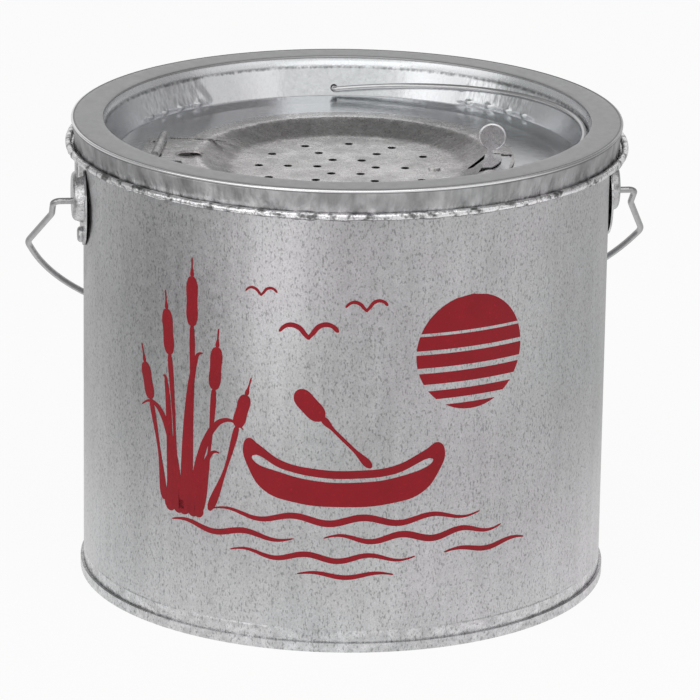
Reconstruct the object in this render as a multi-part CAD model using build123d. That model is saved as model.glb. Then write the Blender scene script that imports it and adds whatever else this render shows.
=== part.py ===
"""Two-piece floating bait bucket: a galvanised pail and the lift-out float that hangs in its mouth.

Frame: origin on the floor at the pail's centre, +Z up, the pail's ears on the X axis, the front towards -Y.
Lengths are millimetres and angles are degrees. Each piece is made at rest: the pail's bail leans back on the
wall, the float is seated, the float's bail lies on its rim, the lid is shut and its latch is drawn back.
"""

from build123d import *
import math
import os

# Sheet metal and clearances
sheet = 0.5              # sheet of the pail, the float and the lid
seat_gap = 0.1           # between nested sheets of one body
body_gap = 0.3           # between pieces that move against each other
pin_gap = 0.05           # a pin or a wire running in its hole

# Pail
pail_radius = 122.8      # outside of the straight wall
wall_height = 206.0      # top of the straight wall, where the mouth's ledge begins
ledge_width = 6.0        # how far the ledge stands out from the wall
ledge_rise = 0.8         # how far it climbs on the way
curl_radius = 1.45       # outside of the curled edge
curl_lift = 1.2          # from the ledge to the centre of the curl
foot_height = 4.3        # the clinched seam round the foot
foot_fold = 1.5          # how far that seam stands out from the wall
bottom_height = 4.6      # underside of the bottom sheet above the floor
bottom_margin = 30.8     # flat margin of the bottom, outside its raised middle
bottom_bead_rise = 1.6
side_seam_angle = 128.0  # the lock seam of the wall, out of sight behind
side_seam_width = 8.0
side_seam_height = 1.0

# Ears of the pail
pivot_drop = 24.5        # axis of the pail's bail below the top of the straight wall
ear_sheet = 0.9
ear_radius = 18.9
ear_drop = 1.8           # centre of the ear below the pivot
boss_radius = 13.0
boss_rise = 2.5          # centre of the boss above the pivot
boss_depth = 5.6         # from the back of the ear to the face of the boss
boss_taper = 20.0
boss_bend = 2.4          # round edge of the boss
strap_half = 6.0         # half the width of the hollow strap above the boss
strap_depth = 4.0
strap_bend = 1.5
strap_gap = 1.4          # strap's upper end below the ledge
ear_rivet_radius = 1.9
ear_rivet_drop = 16.2    # rivet below the pivot
ear_rivet_head = 3.8
ear_rivet_dome = 2.2
ear_rivet_tail = 3.0     # radius of its flattened end inside the wall

# Bail of the pail
wire_radius = 1.5
bail_reach = 163.0       # pivot axis to the middle of the bow
bow_spread = 13.3        # the bow's radius beyond the legs
bow_start = 16.4         # angle on the bow where the arc begins
leg_stand_off = 8.6      # from the face of the boss to the leg of the wire
crank_length = 14.0
knee_run = 10.0          # straight wire between the knee and the bow
leg_bends = (3.2, 9.0, 12.0)
wire_head_radius = 2.7
wire_head_length = 1.2

# Float: flat top ring and its skirt
float_play = 2.1         # between the pail's wall and the lower flange of the ring
skirt_play = 1.35        # between the skirt and the inside of the curl
skirt_taper = 1.6        # the skirt is this much wider at the top ring
ring_rise = 10.35        # flat ring above the top of the pail's curl
ring_width = 14.9
ring_edge_bend = 1.5
hem_depth = 1.2
ring_flange = 7.0        # lower flange that takes the perforated shell

# Float: neck, deck and air chamber
neck_depth = 18.4        # from the top ring down to the deck's outer rim
neck_lean = 6.25         # the neck wall is this much narrower at its foot
neck_skirt = 7.0         # neck wall below the deck
neck_flange = 4.0        # neck wall's flange under the top ring
deck_dish = 1.1          # how far the deck climbs to the neck
deck_slope_width = 10.0
deck_width = 37.7        # from the neck wall's foot to the deck's opening
deck_skirt = 6.0         # deck's edge turned down inside the neck wall
throat_ledge = 5.2       # the deck's edge reaches this far inside the throat tube
throat_flange = 5.5
chamber_depth = 45.3     # from the deck to the sheet that closes the air chamber
chamber_flange = 6.0
crimp_places = (-45.5, 47.0, 134.5, 224.5)  # middle of each group, from the axis of the float's bail
crimp_count = 4
crimp_spacing = 6.1      # angle between neighbouring crimps of one group
crimp_radius = 1.7
crimp_depth = 1.5

# Float: perforated shell and bottom
float_floor = 10.0       # lowest edge of the float above the floor
float_bottom_height = 4.0
shell_rows = 4
shell_columns = 12
shell_hole_radius = 3.0
shell_first_row = 34.0
shell_row_margin = 22.0  # top row of holes below the air chamber
bottom_hole_radius = 3.0
bottom_hole_rings = (35.0, 75.0)
bottom_hole_counts = (6, 12)

# Bail of the float
float_bail_angle = 86.3  # direction of its axis, seen from above
float_wire_radius = 1.3
float_bail_rise = 3.6    # axis above the deck's outer rim
float_bail_tilt = 4.6    # it rests this far above level
float_bail_side_gap = 1.3
float_bail_leg = 4.0
float_bail_bend = 1.8    # on the centre line, where the wire turns into its hole
socket_wall = 0.8
socket_depth = 7.0

# Lid
lid_turn = -11.7         # direction of the latch, seen from above
lid_overlap = 8.0        # the lid's flat rim lies this far over the deck
lid_slope_inset = 1.3    # slope begins inside the deck's opening
lid_slope_width = 14.5
lid_dish = 5.8
lid_bend_low = 14.0
lid_bend_high = 5.0
lid_hole_radius = 2.0
lid_hole_margin = 13.5   # outer ring of holes inside the edge of the flat
lid_hole_turn = 3.3
lid_hole_counts = (6, 6, 12)

# Hinge of the lid
hinge_reach = 9.7        # hinge pin beyond the lid's rim
hinge_pin_radius = 1.2
knuckle_wall = 0.75
knuckle_clearance = 0.4  # under the knuckles, above the deck
hinge_half = 18.5        # half the length of the hinge
lid_knuckle_half = 9.0
hinge_tab_half = 19.8
hinge_pin_end = 0.8      # pin beyond the knuckles
leaf_reach = 7.6         # leaf on the deck beyond the pin
hinge_rivet_radius = 0.9
hinge_rivet_head = 1.5
hinge_rivet_rise = 0.4
hinge_rivet_reach = 4.9  # rivets beyond the pin
hinge_rivet_offset = 13.0
lance_place = (5.4, -8.4)  # small lance: inside the lid's rim, and across the lid
lance_size = (10.4, 2.6)
lance_turn = 17.0

# Latch of the lid: window and slot in the lid
latch_travel = 4.0
window_foot = 8.1        # inner edge of the window inside the deck's opening
window_lean = 3.8        # that edge stands this much further out at its other end
window_reach = 6.3       # outer edge of the window beyond the deck's opening
window_side = (-17.0, 12.0)
window_bend = 2.0
slot_inset = 8.7         # middle of the slot inside the deck's opening
slot_side = 7.4
slot_size = (16.6, 3.2)
slot_turn = 59.0

# Latch of the lid: plate, nose, tail and thumb disc
plate_foot = 6.1         # inner edge of the plate inside the deck's opening
plate_reach = 1.9        # outer end of the plate beyond the deck's opening
plate_side = (-14.0, 9.9)
plate_end_radius = 34.0
plate_lift = 0.5         # plate above the deck
nose_side = (-13.0, -4.0)
nose_drop = 0.4          # nose below the deck's sheet
nose_play = 0.5          # nose inside the opening of the deck
tail_half = 4.7          # half the width of the tail at its rivet
tail_end = 9.5           # tail beyond its rivet
tail_gap = 0.4           # tail below the lid
latch_rivet_radius = 1.4
latch_rivet_head = 2.9
latch_rivet_rise = 0.8
thumb_radius = 6.1
thumb_rise = 8.5         # centre of the thumb disc above the lid's rim
thumb_depth = 1.4        # the disc is a shallow cup
thumb_bend = 0.4
thumb_inset = 2.9        # middle of the thumb disc inside the deck's opening
thumb_neck = (5.1, 2.6)  # sides of its stem, inside the deck's opening

# Heights and radii that follow
pail_inner = pail_radius - sheet
ledge_top = wall_height + ledge_rise
curl_inner = pail_inner + ledge_width
curl_centre = curl_inner + curl_radius
curl_height = ledge_top + curl_lift
curl_top = curl_height + curl_radius
bottom_bead_radius = pail_radius - bottom_margin
pivot_height = wall_height - pivot_drop
ear_back = pail_radius + seat_gap
ear_face = ear_back + boss_depth
leg_place = ear_face + leg_stand_off
bow_radius = leg_place + bow_spread
bow_centre = bail_reach - bow_radius
bail_rest = math.degrees(math.asin((pail_radius + wire_radius + body_gap) / bail_reach))

ledge_slope = ledge_width / ledge_rise
shoulder_gap = (body_gap + seat_gap) * math.hypot(1, ledge_slope)
flange_radius = pail_inner - float_play
skirt_radius = curl_inner - skirt_play
shoulder_top = wall_height + (skirt_radius + shoulder_gap - pail_inner) / ledge_slope
shoulder_bottom = wall_height + (flange_radius + shoulder_gap - pail_inner) / ledge_slope
ring_top = curl_top + ring_rise
ring_radius = skirt_radius + skirt_taper
ring_inner = ring_radius - ring_width
shell_radius = flange_radius - sheet - seat_gap
shell_top = shoulder_bottom - seat_gap
pan_radius = shell_radius - sheet - seat_gap

neck_top_radius = ring_inner + sheet + seat_gap
neck_foot_radius = neck_top_radius - neck_lean
neck_top = ring_top - sheet - seat_gap
neck_shoulder = ring_top - hem_depth - seat_gap
deck_rim = ring_top - neck_depth
deck_height = deck_rim - deck_dish
neck_slope = neck_lean / (neck_shoulder - deck_rim)
deck_flat_radius = neck_foot_radius - deck_slope_width
opening_radius = neck_foot_radius - deck_width
throat_radius = opening_radius + throat_ledge + sheet
chamber_height = deck_height - chamber_depth
float_bail_height = deck_rim + float_bail_rise
shell_row_spacing = (chamber_height - chamber_flange - shell_row_margin - shell_first_row) / (shell_rows - 1)

lid_radius = opening_radius + lid_overlap
lid_slope_radius = opening_radius - lid_slope_inset
lid_flat_radius = lid_slope_radius - lid_slope_width
lid_under = deck_height + body_gap
lid_top = lid_under + sheet
lid_floor = lid_top - lid_dish
lid_hole_pitch = (lid_flat_radius - lid_hole_margin) / len(lid_hole_counts)

knuckle_radius = hinge_pin_radius + pin_gap + knuckle_wall
pin_height = deck_height + knuckle_clearance + knuckle_radius
hinge_distance = lid_radius + hinge_reach
hinge_rivet_place = hinge_distance + hinge_rivet_reach
leaf_under = deck_height + seat_gap
knuckle_end = knuckle_radius + body_gap

plate_inner = opening_radius - plate_foot
plate_outer = opening_radius + plate_reach
plate_low = deck_height + plate_lift
plate_high = plate_low + sheet
nose_high = deck_height - sheet - nose_drop
nose_low = nose_high - sheet
tail_high = lid_floor - sheet - tail_gap
tail_low = tail_high - sheet
ramp_high = tail_high + (plate_inner - lid_flat_radius) * lid_dish / lid_slope_width - seat_gap


def neck_inner_radius(height):
    """Inside radius of the sloping neck wall at a height."""
    return neck_foot_radius + neck_slope * (height - deck_rim)


def offset_points(points, distance):
    """Points of the path moved to its right by a distance, with mitred corners."""
    normals = []
    for (x0, y0), (x1, y1) in zip(points, points[1:]):
        length = math.hypot(x1 - x0, y1 - y0)
        normals.append(((y1 - y0) / length, (x0 - x1) / length))
    moved = []
    for index, (x, y) in enumerate(points):
        before = normals[max(index - 1, 0)]
        after = normals[min(index, len(normals) - 1)]
        share = distance / (1 + before[0] * after[0] + before[1] * after[1])
        moved.append((x + share * (before[0] + after[0]), y + share * (before[1] + after[1])))
    return moved


def turns_right(before, corner, after):
    """True where a path through three points turns to its right at the middle one."""
    return ((corner[0] - before[0]) * (after[1] - corner[1]) - (corner[1] - before[1]) * (after[0] - corner[0])) < 0


def sheet_revolved(points, bends=None, thickness=sheet):
    """Turn a sheet's profile about Z. The metal lies to the right of the path through (radius, height) points.

    bends gives the radius of the path's surface at each inner corner, and the other surface follows it.
    """
    far = offset_points(points, thickness)
    if bends is None:
        return turned([*points, *reversed(far)])
    far_bends = []
    for index, bend in enumerate(bends):
        step = -thickness if turns_right(*points[index:index + 3]) else thickness
        far_bends.append(max(bend + step, 0) if bend else 0)
    near_path = FilletPolyline(*points, radius=bends)
    far_path = FilletPolyline(*far, radius=far_bends)
    ends = [Line(points[0], far[0]), Line(points[-1], far[-1])]
    section = make_face([*near_path.edges(), *far_path.edges(), *ends])
    return revolve(Plane.XZ * section, Axis.Z, 360)


def turned(points):
    """Turn a closed outline of (radius, height) points about Z."""
    return revolve(Plane.XZ * make_face(Polyline(*points, close=True)), Axis.Z, 360)


def slab(inner, outer, side, low, high):
    """A block in the lid's own frame, between two distances along it, two across it and two heights."""
    centre = Pos((inner + outer) / 2, (side[0] + side[1]) / 2, (low + high) / 2)
    return centre * Box(outer - inner, side[1] - side[0], high - low)


def plate_of(outline, low, high):
    """A flat plate with a given outline, between two heights."""
    return extrude(Plane.XY.offset(low) * outline, high - low)


def slot_outline(place, size, turn):
    """Outline of a round-ended slot: its middle, its length over all and width, and its direction."""
    return Pos(*place) * Rot(0, 0, turn) * SlotOverall(*size)


def upright(x, y, low, high, radius):
    """A round rod along Z between two heights."""
    return Pos(x, y, (low + high) / 2) * Cylinder(radius, high - low)


def sideways(x_low, x_high, y, z, radius):
    """A round rod along X between two places."""
    return Pos((x_low + x_high) / 2, y, z) * Rot(0, 90, 0) * Cylinder(radius, x_high - x_low)


def across(y_low, y_high, x, z, radius):
    """A round rod along Y between two places."""
    return Pos(x, (y_low + y_high) / 2, z) * Rot(90, 0, 0) * Cylinder(radius, y_high - y_low)


def rings_of_points(radii, counts, turn=0.0):
    """Points on rings about the centre, each ring with its own radius and count."""
    points = []
    for radius, count in zip(radii, counts):
        for index in range(count):
            angle = math.radians(turn + 360 * index / count)
            points.append((radius * math.cos(angle), radius * math.sin(angle)))
    return points


def both_sides(piece):
    """A piece and its mirror image across the YZ plane, as separate solids of one node."""
    return Compound(children=[*piece.solids(), *mirror(piece, about=Plane.YZ).solids()])


# Pail

def make_pail_wall():
    """Rolled wall with its side seam, a ledge at the mouth and an edge curled round the rim wire."""
    rise = [(pail_inner, foot_seat()), (pail_inner, wall_height), (curl_inner, ledge_top),
            (curl_inner, curl_height)]
    back = offset_points(rise, sheet)
    outlines = []
    for points, radius in ((rise, curl_radius), (back, curl_radius - sheet)):
        outlines += Polyline(*points).edges()
        outlines += CenterArc((curl_centre, curl_height), radius, 180, -270).edges()
    ends = [Line(rise[0], back[0]),
            Line((curl_centre, curl_height - curl_radius), (curl_centre, curl_height - curl_radius + sheet))]
    section = make_face([*outlines, *ends])
    wall = revolve(Plane.XZ * section, Axis.Z, 360)
    half = math.degrees(side_seam_width / 2 / pail_radius)
    seam_low = foot_height + body_gap
    seam_high = wall_height - sheet
    seam_profile = make_face(Polyline((pail_radius - sheet / 2, seam_low),
                                      (pail_radius + side_seam_height, seam_low),
                                      (pail_radius + side_seam_height, seam_high),
                                      (pail_radius - sheet / 2, seam_high), close=True))
    seam = revolve(Plane.XZ * seam_profile, Axis.Z, 2 * half)
    wall += Rot(0, 0, side_seam_angle - half) * seam
    for side in (1, -1):
        hole = sideways(pail_inner - 2, pail_radius + 2, 0, pivot_height - ear_rivet_drop,
                        ear_rivet_radius + pin_gap)
        wall -= mirror(hole, about=Plane.YZ) if side < 0 else hole
    return wall


def foot_seat():
    """Height at which the wall stands in the fold of the bottom's seam."""
    return sheet + seat_gap


def make_rim_wire():
    """Wire that stiffens the pail's mouth inside the curl."""
    wire = curl_radius - sheet - 2 * seat_gap
    return revolve(Plane.XZ * (Pos(curl_centre, curl_height) * Circle(wire)), Axis.Z, 360)


def make_pail_bottom():
    """Bottom sheet, set up inside the wall and clinched round its lower edge."""
    inside = pail_inner - seat_gap
    fold = pail_radius + seat_gap
    rim = pail_radius + foot_fold
    bead_foot = bottom_bead_radius + bottom_bead_rise
    top = bottom_height + sheet
    return turned([(0, bottom_height + bottom_bead_rise), (bottom_bead_radius, bottom_height + bottom_bead_rise),
                   (bead_foot, bottom_height), (inside - sheet, bottom_height), (inside - sheet, 0), (rim, 0),
                   (rim, foot_height), (fold, foot_height), (fold, sheet), (inside, sheet), (inside, top),
                   (bead_foot + sheet / 2, top), (bottom_bead_radius + sheet / 2, top + bottom_bead_rise),
                   (0, top + bottom_bead_rise)])


def ear_strap(inset):
    """The strap above the boss, or with an inset the hollow behind it."""
    half = strap_half - inset
    low = pivot_height + boss_rise
    high = wall_height - strap_gap - inset
    depth = strap_depth - inset
    block = Pos(ear_back + depth / 2, 0, (low + high) / 2) * Box(depth, 2 * half, high - low)
    return fillet(block.edges().filter_by(Axis.Z).sort_by(Axis.X)[-2:], strap_bend - inset / 2)


def make_ear():
    """Stamped ear of the +X side: a round plate, a hollow boss for the end of the bail and a hollow strap."""
    face = Plane.YZ.offset(ear_back)
    boss_place = Pos(0, pivot_height + boss_rise)
    ear = extrude(face * Pos(0, pivot_height - ear_drop) * Circle(ear_radius), ear_sheet) + ear_strap(0)
    boss = extrude(face * boss_place * Circle(boss_radius), boss_depth, taper=boss_taper)
    ear += fillet(boss.edges().sort_by(Axis.X)[-1], boss_bend)
    room = extrude(face * boss_place * Circle(boss_radius - ear_sheet), boss_depth - ear_sheet, taper=boss_taper)
    ear -= fillet(room.edges().sort_by(Axis.X)[-1], boss_bend - ear_sheet)
    ear -= ear_strap(ear_sheet)
    ear -= sideways(ear_back, ear_face + 1, 0, pivot_height, wire_radius + pin_gap)
    ear -= sideways(ear_back - 1, ear_back + 2, 0, pivot_height - ear_rivet_drop, ear_rivet_radius + pin_gap)
    return ear


def make_ear_rivet():
    """Round-headed rivet through the foot of the +X ear and the wall."""
    height = pivot_height - ear_rivet_drop
    seat = ear_back + ear_sheet + pin_gap
    back = pail_inner - seat_gap
    head = sideways(seat, seat + ear_rivet_dome, 0, height, ear_rivet_head)
    head = fillet(head.edges().sort_by(Axis.X)[-1], ear_rivet_dome * 0.8)
    return head + sideways(back - 1, back, 0, height, ear_rivet_tail) + \
        sideways(back - 0.5, seat + 0.5, 0, height, ear_rivet_radius)


def make_pail_bail():
    """Bail of the pail: headed ends in the ears, cranked legs, knees and one round bow."""
    angle = math.radians(bow_start)
    start = (bow_radius * math.cos(angle), bow_centre + bow_radius * math.sin(angle))
    knee = (start[0] + knee_run * math.sin(angle), start[1] - knee_run * math.cos(angle))
    inner_end = ear_face - ear_sheet - body_gap - wire_head_length
    leg = FilletPolyline((inner_end, 0), (leg_place, 0), (leg_place, crank_length), knee, start, radius=leg_bends)
    bow = ThreePointArc(start, (0, bail_reach), (-start[0], start[1]))
    path = Wire([*leg.edges(), *bow.edges(), *mirror(leg, about=Plane.YZ).edges()])
    lean = math.radians(bail_rest)
    plane = Plane(origin=(0, 0, pivot_height), x_dir=(1, 0, 0), z_dir=(0, math.cos(lean), math.sin(lean)))
    path = plane * path
    wire = sweep(Plane(origin=(inner_end, 0, pivot_height), z_dir=(1, 0, 0)) * Circle(wire_radius), path=path)
    head = sideways(inner_end, inner_end + wire_head_length, 0, pivot_height, wire_head_radius)
    return wire + head + mirror(head, about=Plane.YZ)


# Float

def make_float_ring():
    """Flat top ring with a hem inside, and a skirt that steps in to sit on the pail's ledge."""
    return sheet_revolved([(ring_inner, ring_top - hem_depth), (ring_inner, ring_top), (ring_radius, ring_top),
                           (skirt_radius, curl_top), (skirt_radius, shoulder_top),
                           (flange_radius, shoulder_bottom), (flange_radius, shoulder_bottom - ring_flange)],
                          bends=(0, ring_edge_bend, 0, 0, 0))


def make_neck_wall():
    """Sloping wall of the recess, crimped inwards over the deck in four places, with two holes for the bail."""
    neck = sheet_revolved([(neck_foot_radius, deck_rim - neck_skirt), (neck_foot_radius, deck_rim),
                           (neck_top_radius, neck_shoulder), (neck_top_radius, neck_top),
                           (neck_top_radius + neck_flange, neck_top)])
    height = deck_rim + crimp_radius + seat_gap
    root = neck_inner_radius(height) + sheet / 2
    crimp = Pos(root - crimp_depth / 2 - sheet / 4, 0, height) * Rot(0, -90, 0) * Cone(
        crimp_radius, crimp_radius / 3, crimp_depth + sheet / 2)
    for place in crimp_places:
        for index in range(crimp_count):
            turn = float_bail_angle + place + crimp_spacing * (index - (crimp_count - 1) / 2)
            neck += Rot(0, 0, turn) * crimp
    for side in (0, 180):
        hole = sideways(neck_foot_radius - crimp_depth, ring_inner, 0, float_bail_height,
                        float_wire_radius + pin_gap)
        neck -= Rot(0, 0, float_bail_angle + side) * hole
    return neck


def make_deck():
    """Deck of the float: flat round the opening, climbing to the neck, with a flange turned down into it."""
    edge = neck_foot_radius - seat_gap
    deck = sheet_revolved([(opening_radius, deck_height), (deck_flat_radius, deck_height),
                           (edge, deck_rim - seat_gap), (edge, deck_rim - deck_skirt)])
    for side in (1, -1):
        deck -= lid_frame(upright(-hinge_rivet_place, side * hinge_rivet_offset,
                                  deck_height - 3, deck_height + 1, hinge_rivet_radius + pin_gap))
    return deck


def make_throat_tube():
    """Tube from the deck's opening down through the air chamber."""
    under_deck = deck_height - sheet - seat_gap
    inside = throat_radius - sheet
    return sheet_revolved([(inside, chamber_height - chamber_flange), (inside, under_deck),
                           (throat_radius + throat_flange, under_deck)])


def make_chamber_floor():
    """Flanged ring that closes the air chamber between the throat tube and the shell."""
    inside = throat_radius + seat_gap
    foot = chamber_height - chamber_flange
    return sheet_revolved([(inside, foot), (inside, chamber_height), (pan_radius, chamber_height),
                           (pan_radius, foot)])


def make_float_shell():
    """Cylinder of the float: whole round the air chamber and perforated below it."""
    shell = turned([(shell_radius - sheet, float_floor), (shell_radius, float_floor), (shell_radius, shell_top),
                    (shell_radius - sheet, shell_top)])
    holes = []
    for row in range(shell_rows):
        height = shell_first_row + shell_row_spacing * row
        for column in range(shell_columns):
            turn = 360 * (column + row % 2 / 2) / shell_columns
            hole = sideways(shell_radius - 3, shell_radius + 3, 0, height, shell_hole_radius)
            holes.append(Rot(0, 0, turn) * hole)
    return shell - holes


def make_float_bottom():
    """Perforated bottom of the float, with a flange turned down inside the shell."""
    top = float_floor + float_bottom_height
    pan = sheet_revolved([(0, top), (pan_radius, top), (pan_radius, float_floor)])
    holes = [upright(x, y, float_floor, top + 1, bottom_hole_radius)
             for x, y in rings_of_points(bottom_hole_rings, bottom_hole_counts)]
    return pan - holes


def make_bail_sockets():
    """Two closed cups behind the neck wall that take the ends of the float's bail and keep the chamber tight."""
    bore = float_wire_radius + socket_wall
    inner = neck_foot_radius
    outer = neck_inner_radius(float_bail_height) + socket_depth
    cup = sideways(inner, outer, 0, float_bail_height, bore + socket_wall)
    cup -= sideways(inner - 1, outer - socket_wall, 0, float_bail_height, bore)
    low = deck_rim
    skin = (sheet + seat_gap) * math.hypot(1, neck_slope)
    core = turned([(0, low), (neck_inner_radius(low) + skin, low),
                   (neck_inner_radius(neck_shoulder) + skin, neck_shoulder), (0, neck_shoulder)])
    cup -= core
    return Compound(children=[*(Rot(0, 0, float_bail_angle) * cup).solids(),
                              *(Rot(0, 0, float_bail_angle + 180) * cup).solids()])


def make_float_bail():
    """Wire bail folded down inside the neck, its ends sprung into the holes of the neck wall."""
    radius = neck_inner_radius(float_bail_height) - float_wire_radius - float_bail_side_gap
    end = neck_inner_radius(float_bail_height) + socket_depth / 2
    stub = FilletPolyline((end, 0), (radius, 0), (radius, float_bail_leg), radius=float_bail_bend)
    bow = ThreePointArc((radius, float_bail_leg), (0, float_bail_leg + radius), (-radius, float_bail_leg))
    path = Wire([*stub.edges(), *bow.edges(), *mirror(stub, about=Plane.YZ).edges()])
    tilt = math.radians(float_bail_tilt)
    plane = Plane(origin=(0, 0, float_bail_height), x_dir=(0, 1, 0), z_dir=(math.sin(tilt), 0, -math.cos(tilt)))
    path = plane * path
    wire = sweep(Plane(origin=(0, end, float_bail_height), z_dir=(0, 1, 0)) * Circle(float_wire_radius), path=path)
    return Rot(0, 0, float_bail_angle - 90) * wire


# Lid, its hinge and its latch

def lid_frame(piece):
    """Turn a piece made with the latch towards +X to its place on the float."""
    return Rot(0, 0, lid_turn) * piece


def lid_hole_places():
    """Middles of the lid's holes and, first in the outer ring, of the latch's rivet."""
    radii = [lid_hole_pitch * (ring + 1) for ring in range(len(lid_hole_counts))]
    return rings_of_points(radii, lid_hole_counts, lid_hole_turn)


def latch_rivet_place():
    """Middle of the latch's rivet, which takes the place of one hole."""
    return lid_hole_places()[-lid_hole_counts[-1]]


def make_lid():
    """Dished lid with its pattern of holes, its hinge tab and knuckle, and the window and slot of the latch."""
    lid = sheet_revolved([(0, lid_floor), (lid_flat_radius, lid_floor), (lid_slope_radius, lid_top),
                          (lid_radius, lid_top)], bends=(lid_bend_low, lid_bend_high))
    tab_end = -hinge_distance + knuckle_end
    tab_root = -(lid_slope_radius + lid_radius) / 2
    lid += slab(tab_end, tab_root, (-hinge_tab_half, hinge_tab_half), lid_under, lid_top)
    knuckle_side = (-lid_knuckle_half, lid_knuckle_half)
    lid += slab(-hinge_distance, tab_root, knuckle_side, lid_under, lid_top)
    lid += across(*knuckle_side, -hinge_distance, pin_height, knuckle_radius)
    lid -= across(*knuckle_side, -hinge_distance, pin_height, hinge_pin_radius + pin_gap)
    inner = opening_radius - window_foot
    outer = opening_radius + window_reach
    window = make_face(Polyline((inner, window_side[0]), (outer, window_side[0]), (outer, window_side[1]),
                                (inner + window_lean, window_side[1]), close=True))
    window = plate_of(window, lid_floor, lid_top + 1)
    lid -= fillet(window.edges().filter_by(Axis.Z), window_bend)
    lid -= plate_of(slot_outline((opening_radius - slot_inset, slot_side), slot_size, slot_turn),
                    lid_floor - 1, lid_top + 1)
    lid -= plate_of(slot_outline((-lid_radius + lance_place[0], lance_place[1]), lance_size, lance_turn),
                    lid_under - 1, lid_top + 1)
    lid -= [upright(x, y, lid_floor - 2, lid_floor + 1, lid_hole_radius)
            for x, y in lid_hole_places() if (x, y) != latch_rivet_place()]
    lid -= upright(*latch_rivet_place(), lid_floor - 2, lid_floor + 1, latch_rivet_radius + pin_gap)
    return lid_frame(lid)


def make_hinge_leaf():
    """Leaf riveted to the deck beyond the pin, with a knuckle at each end of the pin."""
    leaf = slab(-hinge_distance - leaf_reach, -hinge_distance - knuckle_end, (-hinge_half, hinge_half),
                leaf_under, leaf_under + sheet)
    for sign in (1, -1):
        knuckle_side = sorted((sign * (lid_knuckle_half + body_gap), sign * hinge_half))
        leaf += slab(-hinge_distance - knuckle_end - 1, -hinge_distance, knuckle_side,
                     leaf_under, leaf_under + sheet)
        leaf += across(*knuckle_side, -hinge_distance, pin_height, knuckle_radius)
        leaf -= across(*knuckle_side, -hinge_distance, pin_height, hinge_pin_radius + pin_gap / 2)
        leaf -= upright(-hinge_rivet_place, sign * hinge_rivet_offset, leaf_under - 1,
                        leaf_under + 2, hinge_rivet_radius + pin_gap)
    return lid_frame(leaf)


def make_hinge_pin():
    """Plain wire pin of the lid's hinge."""
    half = hinge_half + hinge_pin_end
    return lid_frame(across(-half, half, -hinge_distance, pin_height, hinge_pin_radius))


def make_hinge_rivets():
    """Two flat rivets that hold the leaf on the deck."""
    seat = leaf_under + sheet + pin_gap
    back = deck_height - sheet - pin_gap
    rivets = []
    for sign in (1, -1):
        place = (-hinge_rivet_place, sign * hinge_rivet_offset)
        rivet = upright(*place, seat, seat + hinge_rivet_rise, hinge_rivet_head)
        rivet += upright(*place, back - 0.5, seat + 0.2, hinge_rivet_radius)
        rivet += upright(*place, back - 0.8, back, hinge_rivet_head)
        rivets += lid_frame(rivet).solids()
    return Compound(children=rivets)


def make_latch():
    """Sliding latch: a round-ended plate on the deck with a thumb disc, a nose below the deck and a slotted tail."""
    rivet_x, rivet_y = latch_rivet_place()
    plate = slab(plate_inner, plate_outer, plate_side, plate_low, plate_high)
    latch = plate & upright(plate_outer - plate_end_radius, rivet_y, plate_low, plate_high, plate_end_radius)
    latch += slab(plate_inner, plate_inner + sheet, nose_side, ramp_high - sheet, plate_high)
    nose = slab(plate_inner, opening_radius, nose_side, nose_low, nose_high)
    latch += nose & upright(0, 0, nose_low, nose_high, opening_radius - nose_play)
    ramp = make_face(Polyline((lid_flat_radius - sheet, tail_low), (plate_inner + sheet, ramp_high - sheet),
                              (plate_inner + sheet, ramp_high), (lid_flat_radius - sheet, tail_high), close=True))
    latch += Pos(0, nose_side[0], 0) * extrude(Plane.XZ * ramp, nose_side[0] - nose_side[1])
    tail = make_face(Polyline((rivet_x - tail_end, rivet_y - tail_half), (rivet_x, rivet_y - tail_half),
                              (lid_flat_radius - sheet, nose_side[0]), (lid_flat_radius, nose_side[0]),
                              (lid_flat_radius, nose_side[1]), (rivet_x + tail_half, rivet_y + tail_half),
                              (rivet_x - tail_end, rivet_y + tail_half), close=True))
    latch += plate_of(tail, tail_low, tail_high)
    play = latch_rivet_radius + 2 * seat_gap
    latch -= plate_of(slot_outline((rivet_x - latch_travel / 2, rivet_y), (latch_travel + 2 * play, 2 * play), 0),
                      tail_low - 1, tail_high + 1)
    disc_height = lid_top + thumb_rise
    stem_side = (plate_side[1] - sheet, plate_side[1])
    latch += slab(opening_radius - thumb_neck[0], opening_radius - thumb_neck[1], stem_side, plate_low, disc_height)
    disc = across(stem_side[0], stem_side[0] + thumb_depth, opening_radius - thumb_inset, disc_height, thumb_radius)
    disc = fillet(disc.edges().sort_by(Axis.Y)[0], thumb_bend)
    disc -= across(stem_side[1], stem_side[1] + thumb_depth, opening_radius - thumb_inset, disc_height,
                   thumb_radius - sheet)
    return lid_frame(latch + disc)


def make_latch_rivet():
    """Shouldered rivet in the lid, on which the latch's slotted tail slides."""
    place = latch_rivet_place()
    rivet = upright(*place, lid_floor + pin_gap, lid_floor + latch_rivet_rise, latch_rivet_head)
    rivet += upright(*place, tail_low - body_gap - 0.5, lid_floor + 0.4, latch_rivet_radius)
    rivet += upright(*place, tail_low - body_gap - 0.8, tail_low - body_gap, latch_rivet_head)
    return lid_frame(rivet)


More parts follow.
